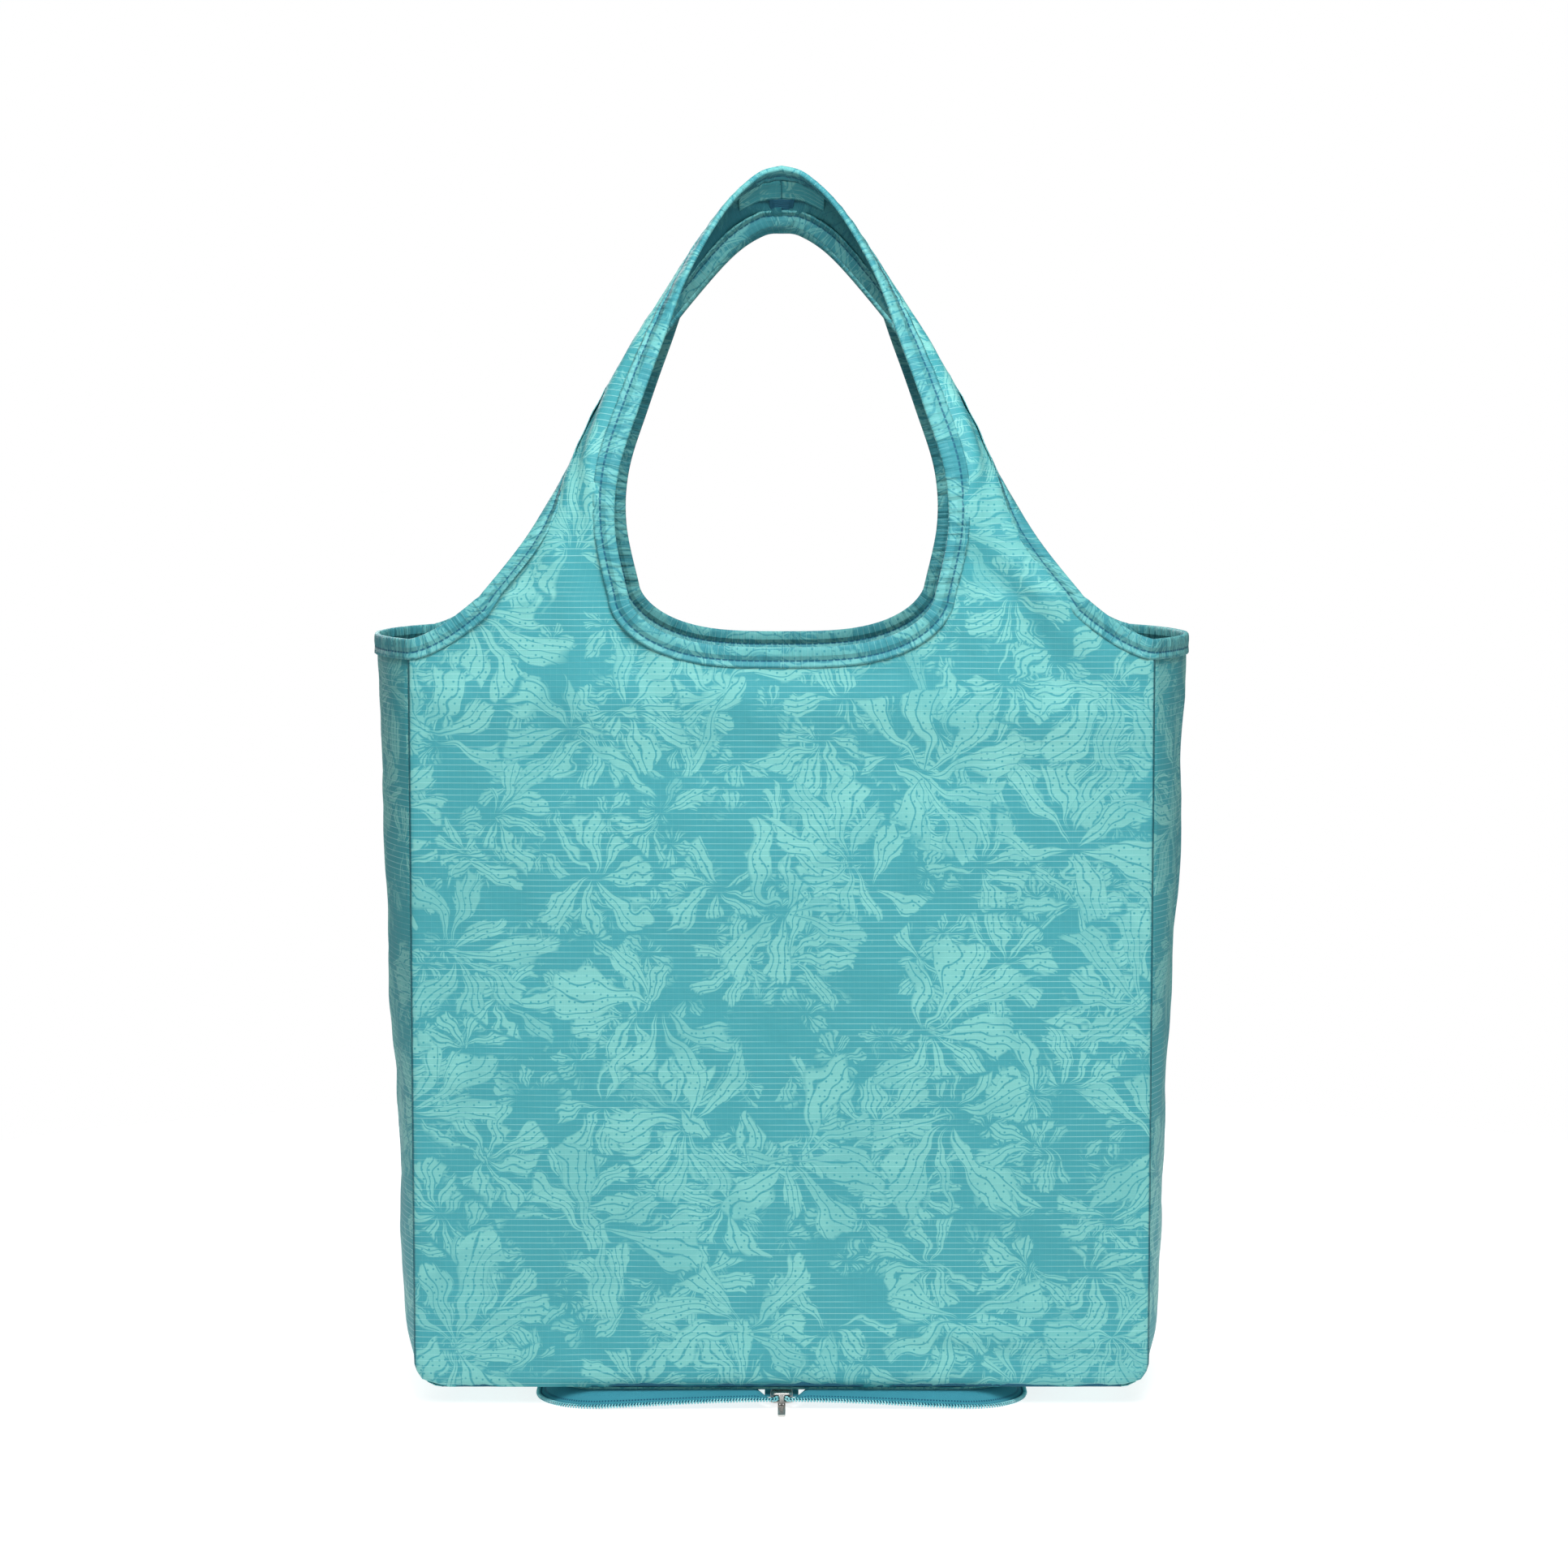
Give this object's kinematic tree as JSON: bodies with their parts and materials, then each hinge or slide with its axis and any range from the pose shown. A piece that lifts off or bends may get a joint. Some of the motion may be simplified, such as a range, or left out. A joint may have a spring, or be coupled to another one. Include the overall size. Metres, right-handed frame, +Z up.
{
  "type": "foldable tote bag",
  "caption": "Light printed tote bag with two strap handles, side gussets and a flat zip-round pouch under its base that the bag folds into.",
  "frame": {"origin": "on the ground, under the middle of the whole object's box, zip pull included", "axes": "+Z up, front panel faces -Y, +X to the viewer's right"},
  "size_m": [0.4146, 0.168, 0.621],
  "materials": {
    "printed_ripstop": "teal ripstop cloth with a tone-on-tone leaf print",
    "binding": "bias strip of the same printed ripstop, stitched along its inner edge",
    "seam_tape": "dark teal woven seam tape",
    "zip_tape": "plain pale cyan woven zip tape",
    "zip_coil": "dyed monofilament coil",
    "thread": "dark teal thread",
    "nickel": "satin nickel plate on die-cast metal"
  },
  "bodies": {
    "bag": {"front_panel": "printed_ripstop", "back_panel": "printed_ripstop", "left_gusset": "printed_ripstop", "right_gusset": "printed_ripstop", "base_panel": "printed_ripstop", "front_neck_binding": "binding", "back_neck_binding": "binding", "left_side_binding": "binding", "right_side_binding": "binding", "front_left_seam_tape": "seam_tape", "front_right_seam_tape": "seam_tape", "back_left_seam_tape": "seam_tape", "back_right_seam_tape": "seam_tape", "front_base_seam_tape": "seam_tape", "back_base_seam_tape": "seam_tape", "left_base_seam_tape": "seam_tape", "right_base_seam_tape": "seam_tape", "pouch_panel": "printed_ripstop", "zip_tape_left": "zip_tape", "zip_tape_right": "zip_tape", "zip_coil_left": "zip_coil", "zip_coil_right": "zip_coil", "zip_bottom_stop": "nickel", "zip_top_stop_left": "nickel", "zip_top_stop_right": "nickel"},
    "front_handle": {"front_left_strap": "printed_ripstop", "front_right_strap": "printed_ripstop", "front_handle_neck_binding": "binding", "front_handle_side_binding": "binding", "front_apex_patch": "printed_ripstop", "front_apex_seam": "seam_tape", "front_bartack": "thread"},
    "back_handle": {"back_left_strap": "printed_ripstop", "back_right_strap": "printed_ripstop", "back_handle_neck_binding": "binding", "back_handle_side_binding": "binding", "back_apex_patch": "printed_ripstop", "back_apex_seam": "seam_tape", "back_bartack": "thread"},
    "zip_slider": {"zip_slider_body": "nickel", "zip_slider_crown": "nickel"},
    "zip_pull_tab": {"zip_pull": "nickel"}
  },
  "joints": [
    {"name": "front_handle_fold", "type": "hinge", "parent": "bag", "child": "front_handle", "pos_m": [0, -0.06598, 0.4071], "axis": [1, 0, 0], "range_deg": [0, 175]},
    {"name": "back_handle_fold", "type": "hinge", "parent": "bag", "child": "back_handle", "pos_m": [0, 0.07902, 0.4071], "axis": [-1, 0, 0], "range_deg": [0, 175]},
    {"name": "zip_slider_travel", "type": "slide", "parent": "bag", "child": "zip_slider", "axis": [0, 1, 0], "range_m": [0, 0.013]},
    {"name": "zip_pull_swing", "type": "hinge", "parent": "zip_slider", "child": "zip_pull_tab", "pos_m": [0, -0.06152, 0.0016], "axis": [1, 0, 0], "range_deg": [0, 170]}
  ]
}
